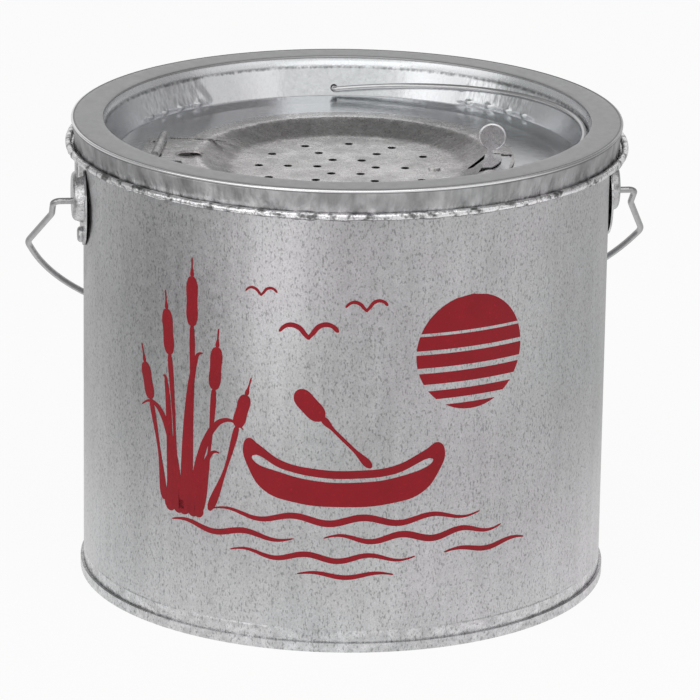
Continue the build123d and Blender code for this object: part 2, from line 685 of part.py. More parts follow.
ear = make_ear()
nodes = {
    "pail_wall": make_pail_wall(),
    "rim_wire": make_rim_wire(),
    "pail_bottom": make_pail_bottom(),
    "ear_right": ear,
    "ear_left": mirror(ear, about=Plane.YZ),
    "ear_rivets": both_sides(make_ear_rivet()),
    "pail_bail": make_pail_bail(),
    "float_ring": make_float_ring(),
    "neck_wall": make_neck_wall(),
    "deck": make_deck(),
    "throat_tube": make_throat_tube(),
    "chamber_floor": make_chamber_floor(),
    "float_shell": make_float_shell(),
    "float_bottom": make_float_bottom(),
    "bail_sockets": make_bail_sockets(),
    "float_bail": make_float_bail(),
    "lid": make_lid(),
    "hinge_leaf": make_hinge_leaf(),
    "hinge_pin": make_hinge_pin(),
    "hinge_rivets": make_hinge_rivets(),
    "latch": make_latch(),
    "latch_rivet": make_latch_rivet(),
}

os.makedirs("parts", exist_ok=True)
for name, node in nodes.items():
    export_step(node, f"parts/{name}.step")
    print(name, len(node.solids()), round(sum(solid.volume for solid in node.solids()) / 1000, 2), "cm3")
print("pail bail rests", round(bail_rest, 2), "degrees back from hanging")
print("pin height", round(pin_height, 2), "hinge distance", round(hinge_distance, 2))
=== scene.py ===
# %% [markdown]
# Floating bait bucket
#
# The object is a galvanised pail with a lift-out float seated in its mouth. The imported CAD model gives
# every piece at its real size. This script gives each piece the finish of the real metal, adds the shapes
# that are too fine for the CAD model, and sets up a plain studio with the camera where the photographer
# stood.

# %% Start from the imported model
import math
import bpy
from mathutils import Matrix, Vector
from mathutils import noise as field


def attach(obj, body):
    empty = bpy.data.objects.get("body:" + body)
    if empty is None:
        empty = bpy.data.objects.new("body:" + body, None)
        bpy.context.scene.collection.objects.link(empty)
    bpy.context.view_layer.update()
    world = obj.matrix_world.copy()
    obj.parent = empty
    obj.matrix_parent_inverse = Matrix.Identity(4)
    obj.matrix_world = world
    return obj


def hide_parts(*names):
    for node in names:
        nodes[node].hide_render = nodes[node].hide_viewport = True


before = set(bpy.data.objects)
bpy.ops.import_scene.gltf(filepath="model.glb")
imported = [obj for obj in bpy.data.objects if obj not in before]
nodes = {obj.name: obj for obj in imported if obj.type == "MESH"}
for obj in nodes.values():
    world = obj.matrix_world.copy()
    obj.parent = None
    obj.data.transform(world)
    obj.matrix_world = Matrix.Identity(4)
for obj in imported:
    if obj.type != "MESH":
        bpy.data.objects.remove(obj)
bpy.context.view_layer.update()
mm = 0.001

# %% [markdown]
# The camera
#
# A long lens far away keeps the pail's sides almost parallel, as in a catalogue picture. The place, the
# downward tilt and the small roll were worked out from the rims and the foot of the pail, which are circles
# of known size and height.

# %% Set the camera
camera_place = (-0.3007, -2.380, 0.857)
camera_turn = math.radians(-7.269)
camera_tilt = math.radians(17.39)
camera_roll = math.radians(0.833)
camera_data = bpy.data.cameras.new("camera")
camera_data.lens = 273.8
camera_data.sensor_width = 36.0
camera_data.clip_start = 0.1
camera_data.clip_end = 50.0
camera = bpy.data.objects.new("camera", camera_data)
bpy.context.scene.collection.objects.link(camera)
camera.matrix_world = (
    Matrix.Translation(camera_place)
    @ Matrix.Rotation(camera_turn, 4, "Z")
    @ Matrix.Rotation(math.radians(90) - camera_tilt, 4, "X")
    @ Matrix.Rotation(camera_roll, 4, "Z")
)
bpy.context.scene.camera = camera
print("camera at", camera_place, "with a", camera_data.lens, "mm lens")

# %% [markdown]
# Helpers for shader graphs
#
# Each finish below is a small graph of noise textures that feeds one Principled shader. A few helpers keep
# the graphs readable: one starts a material, one adds a node with its settings, one maps a texture's grey
# values to a range, and one does sums.

# %% Shader helpers
def start_material(name, metallic=1.0):
    """Makes an empty material with one Principled shader and returns (material, tree, shader)."""
    material = bpy.data.materials.new(name)
    material.use_nodes = True
    tree = material.node_tree
    shader = tree.nodes["Principled BSDF"]
    shader.inputs["Metallic"].default_value = metallic
    return material, tree, shader


def plug(tree, socket, value):
    """Links a socket to a socket, or writes a plain value in it."""
    if isinstance(value, bpy.types.NodeSocket):
        tree.links.new(value, socket)
    else:
        socket.default_value = value


def add_node(tree, kind, settings=(), **inputs):
    """Adds a node. Settings are (name, value) pairs; inputs are values or sockets, by name."""
    node = tree.nodes.new(kind)
    for name, value in dict(settings).items():
        setattr(node, name, value)
    for name, value in inputs.items():
        plug(tree, node.inputs[name.replace("_", " ")], value)
    return node


def sums(tree, operation, first, second=0.0):
    """One sum on grey values, such as ADD or MULTIPLY."""
    node = add_node(tree, "ShaderNodeMath", {"operation": operation})
    plug(tree, node.inputs[0], first)
    plug(tree, node.inputs[1], second)
    return node.outputs["Value"]


def times(tree, first, second):
    """The product of two grey values."""
    return sums(tree, "MULTIPLY", first, second)


def plus(tree, first, second):
    """Two grey values added."""
    return sums(tree, "ADD", first, second)


def mixed(tree, share, first, second):
    """The first value where share is 0, the second where it is 1, and a blend between."""
    node = add_node(tree, "ShaderNodeMix", {"data_type": "FLOAT"})
    plug(tree, node.inputs[0], share)
    plug(tree, node.inputs[2], first)
    plug(tree, node.inputs[3], second)
    return node.outputs[0]


def from_axis(tree, x, y):
    """How far a point is from the origin, seen from above."""
    return sums(tree, "SQRT", plus(tree, times(tree, x, x), times(tree, y, y)))


def spread(tree, source, low, high, to_low, to_high, soft=False):
    """Maps grey values between low and high to the range from to_low to to_high."""
    kind = "SMOOTHSTEP" if soft else "LINEAR"
    node = add_node(tree, "ShaderNodeMapRange", {"interpolation_type": kind}, Value=source)
    node.inputs["From Min"].default_value = low
    node.inputs["From Max"].default_value = high
    node.inputs["To Min"].default_value = to_low
    node.inputs["To Max"].default_value = to_high
    return node.outputs["Result"]


def band(tree, source, rise, fall):
    """A band of 1 in a field of 0. Rise and fall are the (start, end) pairs of its two soft edges."""
    return times(tree, spread(tree, source, *rise, 0, 1), spread(tree, source, *fall, 1, 0))


def noise(tree, scale, stretch=(1, 1, 1), detail=3.0, roughness=0.6):
    """A cloudy grey pattern fixed to the piece. A stretch below 1 draws it out along that axis."""
    place = add_node(tree, "ShaderNodeTexCoord")
    mapping = add_node(tree, "ShaderNodeMapping", Vector=place.outputs["Object"], Scale=stretch)
    texture = add_node(tree, "ShaderNodeTexNoise", Vector=mapping.outputs["Vector"], Scale=scale,
                       Detail=detail, Roughness=roughness)
    return texture.outputs["Fac"]


def object_xyz(tree):
    """The three object coordinates of the shaded point, in metres."""
    place = add_node(tree, "ShaderNodeTexCoord")
    split = add_node(tree, "ShaderNodeSeparateXYZ", Vector=place.outputs["Object"])
    return split.outputs["X"], split.outputs["Y"], split.outputs["Z"]


def tinted(tree, value, tint):
    """A colour from a grey value and a share for red, green and blue."""
    colour = add_node(tree, "ShaderNodeCombineColor")
    for channel, share in zip(("Red", "Green", "Blue"), tint):
        tree.links.new(times(tree, value, share), colour.inputs[channel])
    return colour.outputs["Color"]


print("shader helpers are ready")

# %% [markdown]
# Galvanised sheet
#
# Hot-dipped zinc is never even. From close by it has a fine grain and small dark specks, a little longer
# than they are wide, where the bath ran down the sheet. From further off it has soft clouds and faint
# upright streaks. Each of these is one noise texture with its own size, and the product of them all shades
# one grey. The same noises make the surface slightly bumpy, so that reflections break up as they do on the
# real metal. One function makes every zinc finish, from the dull lid to the bright inside of the neck.

# %% A function for zinc finishes
cool = (0.98, 0.99, 1.0)
bluish = (0.955, 0.985, 1.0)
warm = (1.0, 0.993, 0.985)
finishes = {}


def zinc(name, grey, tint, roughness, grain, specks, mottle, cloud, streak, bump, zone=None):
    """A zinc finish, kept by its name. Grain to streak are how strongly each shows, as shares."""
    material, tree, shader = start_material(name)
    fine = noise(tree, 1500.0, detail=2.0)
    drips = noise(tree, 1250.0, (1, 1, 0.5), detail=2.0, roughness=0.5)
    hue = noise(tree, 11.0, detail=2.0)
    spots = noise(tree, 330.0, (1, 1, 0.75), detail=3.0)
    clouds = noise(tree, 26.0, (1, 1, 0.6), detail=3.0)
    lines = noise(tree, 210.0, (1, 1, 0.05), detail=3.0)
    value = grey
    for pattern, share in ((fine, grain), (spots, mottle), (clouds, cloud), (lines, streak)):
        value = times(tree, spread(tree, pattern, 0.3, 0.7, 1 - share, 1 + share), value)
    value = times(tree, spread(tree, drips, 0.32, 0.46, 1 - specks, 1.0), value)
    rough = spread(tree, spots, 0.3, 0.7, roughness * 0.85, roughness * 1.15)
    surface = plus(tree, times(tree, fine, 0.25), spots)
    normal = None
    if zone:
        value, rough, normal = zone(tree, value, rough)
    height = add_node(tree, "ShaderNodeBump", Height=surface, Strength=bump, Distance=0.4 * mm)
    if normal:
        tree.links.new(normal, height.inputs["Normal"])
    red, green, blue = tint
    warmer = spread(tree, hue, 0.35, 0.65, red, red + 0.02)
    less_green = spread(tree, hue, 0.35, 0.65, green, green - 0.015)
    tree.links.new(tinted(tree, value, (warmer, less_green, blue)), shader.inputs["Base Color"])
    tree.links.new(rough, shader.inputs["Roughness"])
    tree.links.new(height.outputs["Normal"], shader.inputs["Normal"])
    finishes[name] = material


print("the zinc function is ready")

# %% [markdown]
# The pail's wall
#
# Most of the wall is plain sheet, but the bead at its mouth and the seam at its foot caught more zinc.
# There the coating ran, pooled and froze in lumps, which the bump gives. On the bead the grey swings into
# short bright and dark dashes, which are painted highlights and painted shade, and at the foot it is
# painted a little lighter, as a painted sheen. A zone is picked by its height above the table, and a coarse
# noise swings its grey and its bump far more.

# %% The wall with its bead and foot
bead_foot = 206.4 * mm
foot_top = 10.6 * mm
bead_fade = 0.6 * mm
foot_fade = 0.8 * mm
brightest = 0.97


def bead_and_foot(tree, value, rough):
    """Painted highlight and shade dashes on the bead, and a lumpier foot band with a painted sheen."""
    z = object_xyz(tree)[2]
    on_bead = spread(tree, z, bead_foot, bead_foot + bead_fade, 0, 1)
    on_foot = spread(tree, z, foot_top, foot_top - foot_fade, 0, 1)
    lumps = noise(tree, 190.0, (1, 1, 1.3), detail=2.5, roughness=0.6)
    # Painted highlights and painted shade: the bead's grey swings far above and below its mean in dashes.
    bead_painted_dashes = spread(tree, lumps, 0.38, 0.53, 0.36, 1.75)
    # Painted sheen: the foot band is painted a little lighter on average.
    foot_painted_sheen = spread(tree, lumps, 0.3, 0.7, 0.85, 1.25)
    value = times(tree, value, mixed(tree, on_bead, 1.0, bead_painted_dashes))
    value = times(tree, value, mixed(tree, on_foot, 1.0, foot_painted_sheen))
    value = sums(tree, "MINIMUM", value, brightest)
    edges = plus(tree, on_bead, times(tree, on_foot, 0.5))
    rough = times(tree, rough, spread(tree, edges, 0, 1, 1, 0.6))
    swell = times(tree, lumps, edges)
    height = add_node(tree, "ShaderNodeBump", Height=swell, Strength=0.7, Distance=1.2 * mm)
    return value, rough, height.outputs["Normal"]


zinc("galvanised_wall", 0.58, cool, 0.33, 0.12, 0.42, 0.06, 0.08, 0.05, 0.30, bead_and_foot)
zinc("galvanised_shell", 0.54, cool, 0.37, 0.12, 0.36, 0.06, 0.08, 0.05, 0.30)
print("wall finish with a bead above", round(1000 * bead_foot, 1), "mm")

# %% [markdown]
# The float's ring
#
# The ring's flat top is smooth, even zinc, but its skirt was drawn down over the pail by a tool that
# dragged the metal. That left upright scuffs, deeper towards the lower edge. A noise that is drawn out
# along Z gives the scuffs, and the height fades them in. Where the skirt meets the bead a ragged dark line
# is painted shade, and the skirt is painted lighter low down and darker higher up. The outer corner is a
# tight roll. Its crest has a painted highlight that fades towards the right, and the grooves beside it have
# painted shade.

# %% The ring with its scuffed skirt
skirt_foot = 209.5 * mm
skirt_top = 219.0 * mm
skirt_fade = 1.2 * mm
gap_shade_heights = (208.5 * mm, 209.5 * mm)
skirt_painted_shading = (210.0 * mm, 215.0 * mm)
crest_reach = (127.5 * mm, 127.8 * mm)
crest_height = (218.5 * mm, 218.8 * mm)
groove_reach = (126.7 * mm, 127.1 * mm)
groove_height = (217.9 * mm, 218.3 * mm)
crest_highlight_fade = (50.0 * mm, 105.0 * mm)


def scuffed_skirt(tree, value, rough):
    """Upright scuffs, painted shade at the foot and in the grooves, and a painted highlight on the corner."""
    x, y, z = object_xyz(tree)
    on_skirt = spread(tree, z, skirt_top, skirt_top - skirt_fade, 0, 1)
    depth = spread(tree, z, skirt_foot, skirt_top, 1.0, 0.25)
    marks = noise(tree, 125.0, (1, 1, 0.5), detail=3.0, roughness=0.55)
    flutes = noise(tree, 330.0, (1, 1, 0.08), detail=2.0)
    scuff = times(tree, spread(tree, marks, 0.36, 0.62, 0.84, 1.30),
                  spread(tree, flutes, 0.35, 0.65, 0.93, 1.07))
    value = times(tree, value, mixed(tree, on_skirt, 1.0, scuff))
    ragged = plus(tree, z, spread(tree, marks, 0.3, 0.7, -0.8 * mm, 0.8 * mm))
    # Painted shade: a ragged dark line where the skirt meets the bead.
    value = times(tree, value, spread(tree, ragged, *gap_shade_heights, 0.70, 1.0))
    # Painted shading: the lower skirt is painted lighter and the upper skirt darker.
    value = times(tree, value, spread(tree, z, *skirt_painted_shading, 1.12, 0.92, soft=True))
    value = sums(tree, "MINIMUM", value, 0.95)
    rough = plus(tree, rough, times(tree, on_skirt, 0.12))
    reach = from_axis(tree, x, y)
    crest = times(tree, spread(tree, reach, *crest_reach, 0, 1), spread(tree, z, *crest_height, 0, 1))
    groove = times(tree, spread(tree, reach, *groove_reach, 0, 1), spread(tree, z, *groove_height, 0, 1))
    # Painted shade in the grooves beside the roll.
    value = times(tree, value, spread(tree, groove, 0, 1, 1.0, 0.55))
    # Painted highlight on the roll's crest, fading out towards the right.
    crest = times(tree, crest, spread(tree, x, *crest_highlight_fade, 1.0, 0.50, soft=True))
    value = sums(tree, "MAXIMUM", value, times(tree, crest, 0.95))
    rough = times(tree, rough, spread(tree, crest, 0, 1, 1.0, 0.55))
    swell = times(tree, times(tree, marks, depth), on_skirt)
    height = add_node(tree, "ShaderNodeBump", Height=swell, Strength=0.7, Distance=3.0 * mm)
    return value, rough, height.outputs["Normal"]


zinc("grey_ring", 0.45, cool, 0.33, 0.03, 0.05, 0.03, 0.03, 0.0, 0.10, scuffed_skirt)
print("skirt from", round(1000 * skirt_foot, 1), "to", round(1000 * skirt_top, 1), "mm")

# %% [markdown]
# The neck's sheet
#
# The neck and the deck are bright sheet, almost a dull mirror. The neck's wall creases a few millimetres
# below the ring. A band round the crease height is darkened with a noise, as painted shade, and the flare
# above it is painted a little paler. In four fans, where a tool pinched the neck, the zinc is painted paler
# as a painted reflection, with fine upright flutes.

# %% Bright sheet with painted shade in the crease
crease_height = 215.0 * mm
pinch_angles = (40.8, 133.3, 220.8, 310.8)
fan_edge = (math.radians(10.0), math.radians(12.5))
fan_foot = (203.6 * mm, 204.6 * mm)
fan_top = (213.8 * mm, 214.8 * mm)


def fan_sheen_and_flutes(tree, x, y, z):
    """How much paler the four pinch fans are painted, as a share: a painted reflection with upright flutes.
    """
    turn = sums(tree, "ARCTAN2", y, x)
    fans = 0.0
    for pinch in pinch_angles:
        centre = math.radians((pinch + 180) % 360 - 180)
        off = sums(tree, "ABSOLUTE", sums(tree, "SUBTRACT", turn, centre))
        fans = plus(tree, spread(tree, off, *fan_edge, 1, 0), fans)
    fans = times(tree, fans, band(tree, z, fan_foot, fan_top))
    flutes = noise(tree, 620.0, (1, 1, 0.04), detail=2.0)
    return times(tree, fans, spread(tree, flutes, 0.36, 0.64, -0.10, 0.26))


def crease_shade_and_flare_light(tree, value, rough):
    """Paints shade in a thin uneven band at the crease and paints the flare above it lighter."""
    x, y, z = object_xyz(tree)
    wander = noise(tree, 420.0, (1, 1, 0.6), detail=3.0)
    level = plus(tree, z, spread(tree, wander, 0.3, 0.7, -0.35 * mm, 0.35 * mm))
    crease = band(tree, level, (crease_height - 1.2 * mm, crease_height - 0.4 * mm),
                  (crease_height + 0.2 * mm, crease_height + mm))
    # Painted shade in the crease under the ring.
    painted_crease_shade = times(tree, crease, spread(tree, wander, 0.35, 0.6, 0.15, 0.60))
    value = times(tree, value, sums(tree, "SUBTRACT", 1.0, painted_crease_shade))
    # Painted light: the flare above the crease is painted paler.
    on_flare = spread(tree, level, crease_height, crease_height + mm, 0, 1)
    value = times(tree, value, plus(tree, 1.0, times(tree, on_flare, 0.12)))
    # Painted reflection: the pinch fans are painted paler.
    value = times(tree, value, plus(tree, 1.0, fan_sheen_and_flutes(tree, x, y, z)))
    rough = plus(tree, rough, times(tree, on_flare, 0.08))
    height = add_node(tree, "ShaderNodeBump", Height=wander, Strength=1.0, Distance=0.08 * mm)
    return value, rough, height.outputs["Normal"]


zinc("bright_sheet", 0.70, bluish, 0.20, 0.02, 0.06, 0.03, 0.05, 0.0, 0.05, crease_shade_and_flare_light)
print("crease at", round(1000 * crease_height, 1), "mm")

# %% [markdown]
# The lid and the small steel
#
# The lid is the oldest-looking piece: warm grey zinc with a coarse grain that looks sandy. The slope into
# its dish has painted shade, its flat is painted paler and its lip has a painted highlight. Wires are
# smoother and a little darker, because the zinc was wiped as they left the bath, but the float's bail is
# painted lighter as a painted sheen. The ears were pressed from thicker sheet and keep more grain.

# %% The other finishes
dish_foot = (53.0 * mm, 56.5 * mm)
dish_top = (66.5 * mm, 69.0 * mm)
flat_edge = (51.0 * mm, 54.5 * mm)
lip_inner = (68.6 * mm, 69.6 * mm)
lip_outer = (70.8 * mm, 72.0 * mm)


def stained(tree, value, rough):
    """Blotches of older and newer zinc, some duller than others, and shallow waves in the thin sheet."""
    blotches = noise(tree, 95.0, detail=4.0, roughness=0.65)
    value = times(tree, value, spread(tree, blotches, 0.36, 0.64, 0.86, 1.12))
    rough = times(tree, rough, spread(tree, blotches, 0.36, 0.64, 1.20, 0.80))
    waves = noise(tree, 120.0, detail=3.0)
    height = add_node(tree, "ShaderNodeBump", Height=waves, Strength=0.35, Distance=1.0 * mm)
    return value, rough, height.outputs["Normal"]


def dished(tree, value, rough):
    """The lid's stained zinc, with painted shade on the slope, painted light on the flat and at the lip."""
    value, rough, normal = stained(tree, value, rough)
    x, y = object_xyz(tree)[:2]
    reach = from_axis(tree, x, y)
    zone_wobble = noise(tree, 260.0, detail=3.0)
    reach = plus(tree, reach, spread(tree, zone_wobble, 0.3, 0.7, -1.2 * mm, 1.2 * mm))
    # Painted shade down the slope, painted light on the flat, and a painted highlight along the lip.
    slope = band(tree, reach, dish_foot, dish_top)
    value = times(tree, value, spread(tree, slope, 0, 1, 1.0, 0.66))
    value = times(tree, value, spread(tree, reach, *flat_edge, 1.20, 1.0))
    lip = band(tree, reach, lip_inner, lip_outer)
    value = times(tree, value, spread(tree, lip, 0, 1, 1.0, 1.30))
    return value, rough, normal


zinc("dull_lid", 0.60, warm, 0.28, 0.14, 0.40, 0.12, 0.06, 0.0, 0.40, dished)
zinc("ear_steel", 0.60, cool, 0.21, 0.12, 0.40, 0.16, 0.0, 0.0, 0.50, stained)
zinc("steel_wire", 0.45, cool, 0.20, 0.06, 0.10, 0.08, 0.0, 0.0, 0.20)
# The float's bail: the wire finish painted lighter, as a painted sheen.
zinc("wire_with_painted_sheen", 0.62, cool, 0.20, 0.04, 0.06, 0.04, 0.0, 0.0, 0.10)
zinc("thumb_plate", 0.62, cool, 0.27, 0.08, 0.20, 0.06, 0.0, 0.0, 0.25)
# Painted highlight: a near-white finish for the thumb disc's rolled edge.
zinc("painted_highlight_edge", 0.96, cool, 0.30, 0.03, 0.05, 0.03, 0.0, 0.0, 0.10)
zinc("rivet_steel", 0.55, cool, 0.28, 0.05, 0.10, 0.06, 0.0, 0.0, 0.20)
worn_by = {
    "galvanised_wall": ("pail_wall", "pail_bottom"),
    "galvanised_shell": ("throat_tube", "chamber_floor", "float_shell", "float_bottom"),
    "grey_ring": ("float_ring",),
    "bright_sheet": ("neck_wall", "deck", "bail_sockets"),
    "dull_lid": ("hinge_leaf", "hinge_pin", "hinge_rivets", "lid", "latch_rivet"),
    "ear_steel": ("ear_right", "ear_left"),
    "steel_wire": ("rim_wire", "pail_bail"),
    # The float's bail gets the wire finish painted lighter, a painted sheen.
    "wire_with_painted_sheen": ("float_bail",),
    "thumb_plate": ("latch",),
    "rivet_steel": ("ear_rivets",),
}
for finish, node_names in worn_by.items():
    for node_name in node_names:
        mesh = nodes[node_name].data
        mesh.materials.clear()
        mesh.materials.append(finishes[finish])
print("finishes:", ", ".join(finishes))

# %% [markdown]
# Spun sheet
#
# The ring and the neck are turned on a spinning lathe, so each starts as a profile that is spun round the
# axis. The CAD model's ring and neck are plain, so a spun sheet takes the place of each and adds what the
# tools left behind. After the spin, the seam is merged, the points are moved where the sheet was pinched or
# dragged, and Solidify gives it the sheet's thickness.

# %% Spin a profile
sheet = 0.5 * mm


def fine_profile(corners, step):
    """The corners of a profile in millimetres, with points added so that no gap is wider than step."""
    points = [corners[0]]
    for (r0, z0), (r1, z1) in zip(corners, corners[1:]):
        parts = max(1, math.ceil(math.hypot(r1 - r0, z1 - z0) / step))
        for index in range(1, parts + 1):
            share = index / parts
            points.append((r0 + (r1 - r0) * share, z0 + (z1 - z0) * share))
    return points


def select_only(piece):
    """Selects one piece alone and makes it the active one."""
    bpy.ops.object.select_all(action="DESELECT")
    piece.select_set(True)
    bpy.context.view_layer.objects.active = piece


def edit_all():
    """Goes into edit mode with the whole mesh selected."""
    bpy.ops.object.mode_set(mode="EDIT")
    bpy.ops.mesh.select_all(action="SELECT")


def end_edit():
    """Goes back to object mode, where the changed mesh can be read."""
    bpy.ops.object.mode_set(mode="OBJECT")


def spun(name, profile, steps, shape, offset):
    """Spins a profile of (radius, height) in millimetres, shapes its points and gives it a thickness."""
    data = bpy.data.meshes.new(name)
    edges = [(index, index + 1) for index in range(len(profile) - 1)]
    data.from_pydata([(radius * mm, 0, height * mm) for radius, height in profile], edges, [])
    piece = bpy.data.objects.new(name, data)
    bpy.context.scene.collection.objects.link(piece)
    select_only(piece)
    edit_all()
    bpy.ops.mesh.spin(steps=steps, angle=2 * math.pi, center=(0, 0, 0), axis=(0, 0, 1))
    bpy.ops.mesh.select_all(action="SELECT")
    bpy.ops.mesh.remove_doubles(threshold=0.02 * mm)
    bpy.ops.mesh.normals_make_consistent(inside=False)
    end_edit()
    for vertex in piece.data.vertices:
        x, y, z = vertex.co
        turn = math.atan2(y, x)
        radius, height = shape(math.hypot(x, y) / mm, z / mm, turn)
        vertex.co = (radius * mm * math.cos(turn), radius * mm * math.sin(turn), height * mm)
    skin = piece.modifiers.new("skin", "SOLIDIFY")
    skin.thickness = sheet
    skin.offset = offset
    bpy.ops.object.modifier_apply(modifier="skin")
    bpy.ops.object.shade_smooth_by_angle(angle=math.radians(50))
    return piece


def dress(piece, finish, body, slot_name, *replaced):
    """Gives a piece its finish, its body and the nodes it stands for. The slot name is not used."""
    piece.data.materials.clear()
    piece.data.materials.append(finishes[finish])
    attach(piece, body)
    if replaced:
        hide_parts(*replaced)
    print(piece.name, "has", len(piece.data.polygons), "faces")


print("spinning is ready")

# %% [markdown]
# The neck with its crease and pinches
#
# The wall of the neck stands steeply over the deck, creases under the ring and flares out above it. In four
# places a tool pinched the neck to the deck: there the wall is drawn in, in a fan that is wider at its
# foot, with fine upright flutes and four dents. The wire's two ends pass through round holes, cut with a
# Boolean. The profile and the pinches are in millimetres and degrees until the points are placed.

# %% Model the neck
neck_foot = (108.25, 201.4)
neck_crease = (112.93, 215.0)
pinch_low, pinch_high = 201.6, 217.0
fan_half_foot, fan_half_loss, fan_rim = 14.0, 3.0, 2.1
fan_drawn, flute_drawn = 0.45, 0.09
dent_count, dent_step, dent_height = 4, 6.1, 203.4
dent_drawn, dent_half_width, dent_half_height = 1.35, 1.25, 1.15
dent_radius = 108.7
bail_axis = math.radians(86.3)
bail_height = 205.0 * mm
bail_hole = 1.75 * mm


def soft_step(value, low, high):
    """0 below low, 1 above high, and a smooth ramp between."""
    share = min(max((value - low) / (high - low), 0.0), 1.0)
    return share * share * (3 - 2 * share)


def pinched_neck(radius, height, turn):
    """Draws the wall in at the four pinches, with flutes and dents."""
    if height < pinch_low or height > pinch_high:
        return radius, height
    angle = math.degrees(turn) % 360
    drawn = 0.0
    for pinch in pinch_angles:
        off = (angle - pinch + 180) % 360 - 180
        half = fan_half_foot - fan_half_loss * soft_step(height, 203.0, 214.0)
        fan = 1 - soft_step(abs(off), half - fan_rim, half)
        fan *= soft_step(height, pinch_low, 204.0) * (1 - soft_step(height, 213.6, 215.0))
        flutes = flute_drawn * field.noise(Vector((off * 2.2, height * 0.06, pinch)))
        drawn += fan * (fan_drawn + flutes)
        for index in range(dent_count):
            away = (off - dent_step * (index - (dent_count - 1) / 2)) * math.radians(1) * dent_radius
            up = height - dent_height
            drawn += dent_drawn * math.exp(-(away / dent_half_width) ** 2 - (up / dent_half_height) ** 2)
    return radius - drawn, height


neck_profile = fine_profile([(108.25, 194.4), neck_foot], 3.5)
neck_profile += fine_profile([neck_foot, neck_crease], 0.62)[1:]
neck_profile += fine_profile(
    [neck_crease, (114.1, 217.1), (114.55, 218.5), (114.6, 218.9), (118.2, 218.9)], 1.3)[1:]
neck = spun("neck_creased", neck_profile, 540, pinched_neck, 0.0)
bpy.ops.object.select_all(action="DESELECT")
bpy.ops.mesh.primitive_cylinder_add(
    vertices=32, radius=bail_hole, depth=260 * mm, location=(0, 0, bail_height),
    rotation=(0, math.radians(90), bail_axis))
punch = bpy.context.object
select_only(neck)
holes = neck.modifiers.new("holes", "BOOLEAN")
holes.operation = "DIFFERENCE"
holes.object = punch
bpy.ops.object.modifier_apply(modifier="holes")
bpy.data.objects.remove(punch)
dress(neck, "bright_sheet", "float", "bright_sheet", "neck_wall")

# %% [markdown]
# The ring with its rolled corner and dragged skirt
#
# The ring's outer corner is a small roll between two grooves, and the skirt below it was dragged down over
# the pail. The drag left shallow upright troughs that deepen towards a torn lower edge, so a smooth noise
# of the angle and the height moves the skirt's points by a few tenths of a millimetre. Inside the pail's
# mouth the sheet steps in over the ledge and ends in a plain upright flange. That shows when the float is
# lifted.

# %% Model the ring
skirt_upper = 218.2
skirt_lower = 207.2
skirt_inner = 125.0
skirt_edge = (126.95, 209.5)
step_outer = (126.95, 207.02)
step_inner = (120.2, 206.12)
flange_foot = (120.2, 199.12)


def dragged_skirt(radius, height, turn):
    """Shallow upright troughs on the skirt and an uneven line where it goes into the pail's mouth."""
    if height > skirt_upper or height < skirt_lower or radius < skirt_inner:
        return radius, height
    along = math.degrees(turn) * 2.2
    above_step = soft_step(height, skirt_lower, 208.4)
    depth = above_step * (1 - soft_step(height, 210.0, skirt_upper) * 0.8)
    trough = field.noise(Vector((along * 0.22, height * 0.11, 3.0)))
    fine = field.noise(Vector((along * 0.55, height * 0.05, 8.0)))
    torn = field.noise(Vector((along * 0.35, 0.0, 15.0)))
    foot = above_step * (1 - soft_step(height, 209.2, 211.4))
    inwards = depth * (0.16 + 0.20 * trough + 0.10 * fine)
    return radius - inwards + foot * (0.30 + 0.55 * torn), height


ring_profile = fine_profile([(113.65, 218.7), (113.65, 219.4), (113.85, 219.7), (114.2, 219.8)], 0.5)
ring_profile += fine_profile([(114.2, 219.8), (126.6, 219.8)], 3.0)[1:]
ring_profile += [
    (126.95, 219.72), (127.2, 219.60), (127.42, 219.66), (127.68, 219.79), (128.05, 219.78), (128.36, 219.58),
    (128.52, 219.24), (128.50, 218.90), (128.34, 218.62), (128.16, 218.42), (128.22, 218.15),
]
ring_profile += fine_profile([ring_profile[-1], skirt_edge, step_outer], 0.7)[1:]
ring_profile += fine_profile([step_outer, step_inner, flange_foot], 3.5)[1:]
ring = spun("ring_rolled", ring_profile, 540, dragged_skirt, -1.0)
dress(ring, "grey_ring", "float", "grey_ring", "float_ring")

# %% [markdown]
# Zinc runs on the bead
#
# When the pail came out of the zinc bath, the last of it ran to the bead and froze there in lumps, most of
# them hanging on the underside. The lumps are a torus round the bead whose small circle swells with a
# noise, more on its lower side than on its upper. No point goes past the bead's own reach, so the pail
# grows no wider.

# %% Model the runs
bead_radius = 129.75
bead_height = 208.0
bead_round = 1.46
bead_reach = 131.18
bpy.ops.object.select_all(action="DESELECT")
bpy.ops.mesh.primitive_torus_add(
    major_radius=bead_radius * mm, minor_radius=bead_round * mm, major_segments=640, minor_segments=18,
    location=(0, 0, bead_height * mm))
runs = bpy.context.object
runs.name = "bead_runs"
bpy.ops.object.transform_apply(location=True, rotation=True, scale=True)
for vertex in runs.data.vertices:
    x, y, z = (value / mm for value in vertex.co)
    reach = math.hypot(x, y)
    out, up = (reach - bead_radius) / bead_round, (z - bead_height) / bead_round
    turn = math.atan2(y, x)
    spot = Vector((130 * math.cos(turn), 130 * math.sin(turn), z))
    lump = max(0.0, field.noise(spot * 0.30) + 0.45 * field.noise(spot * 0.8) + 0.12)
    swell = 0.05 + lump * (1.15 * max(-up, 0.0) + 0.35 * max(up, 0.0))
    swell *= 1.0 if out > -0.75 else 0.4
    reach = min(reach + out * swell, bead_reach)
    height = z + up * swell
    vertex.co = (reach * mm * math.cos(turn), reach * mm * math.sin(turn), height * mm)
bpy.ops.object.shade_smooth()
dress(runs, "galvanised_wall", "pail", "galvanised_wall")

